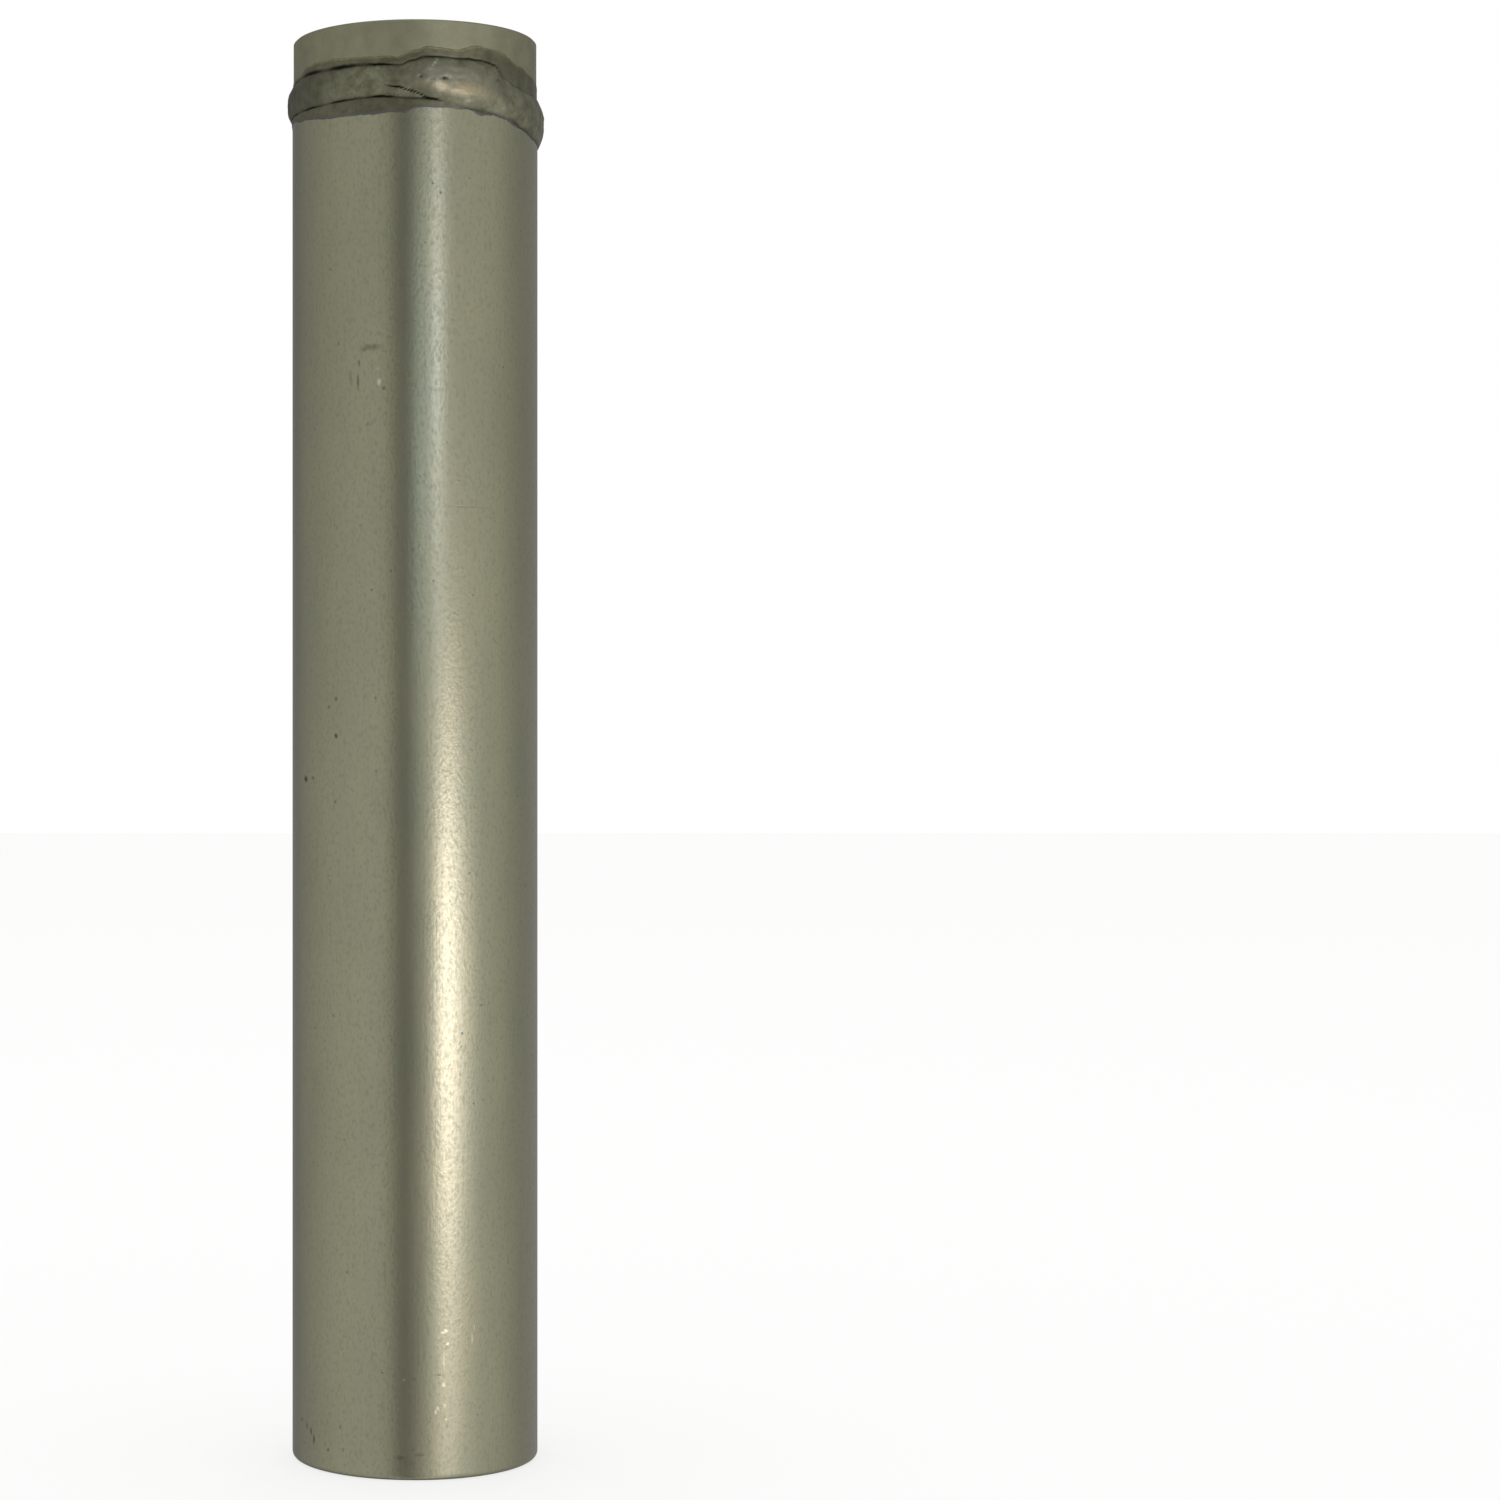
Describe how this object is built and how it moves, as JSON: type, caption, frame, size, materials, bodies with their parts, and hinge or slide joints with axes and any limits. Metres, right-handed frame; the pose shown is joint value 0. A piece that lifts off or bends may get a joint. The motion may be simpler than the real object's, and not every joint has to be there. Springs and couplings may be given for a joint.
{
  "type": "filter drier",
  "caption": "Slim aluminium receiver drier for an air-conditioning circuit: flat-bottomed can, welded head with pipe ports and a tapped hole.",
  "frame": {"origin": "centre of the can's flat bottom", "axes": "+Z along the can's axis, towards the port face; the weld starts and stops on the -Y side"},
  "size_m": [0.0422, 0.0421, 0.23],
  "materials": {
    "drawn_aluminium": "drawn and lightly etched, satin",
    "turned_aluminium": "face-turned, fine concentric marks",
    "weld_metal": "as-laid weld metal, uneven satin",
    "tube_aluminium": "extruded, matt",
    "black_rubber": "moulded, matt",
    "black_nylon": "moulded, matt",
    "wire_gauze": "fine woven wire",
    "spring_steel": "bright drawn wire and strip",
    "plated_sheet": "plated sheet, punched",
    "filter_felt": "needled polyester felt",
    "drying_beads": "packed clay-bound beads"
  },
  "bodies": {
    "root": {"canister": "drawn_aluminium", "head": "turned_aluminium", "weld_bead": "weld_metal", "cross_tube": "tube_aluminium", "elbow": "black_rubber", "dip_tube": "tube_aluminium", "strainer": "black_nylon", "strainer_gauze": "wire_gauze", "spring": "spring_steel", "lower_plate": "plated_sheet", "lower_screen": "wire_gauze", "lower_felt": "filter_felt", "desiccant_bed": "drying_beads", "upper_felt": "filter_felt", "upper_screen": "wire_gauze", "upper_plate": "plated_sheet", "lock_ring": "spring_steel"}
  },
  "joints": []
}
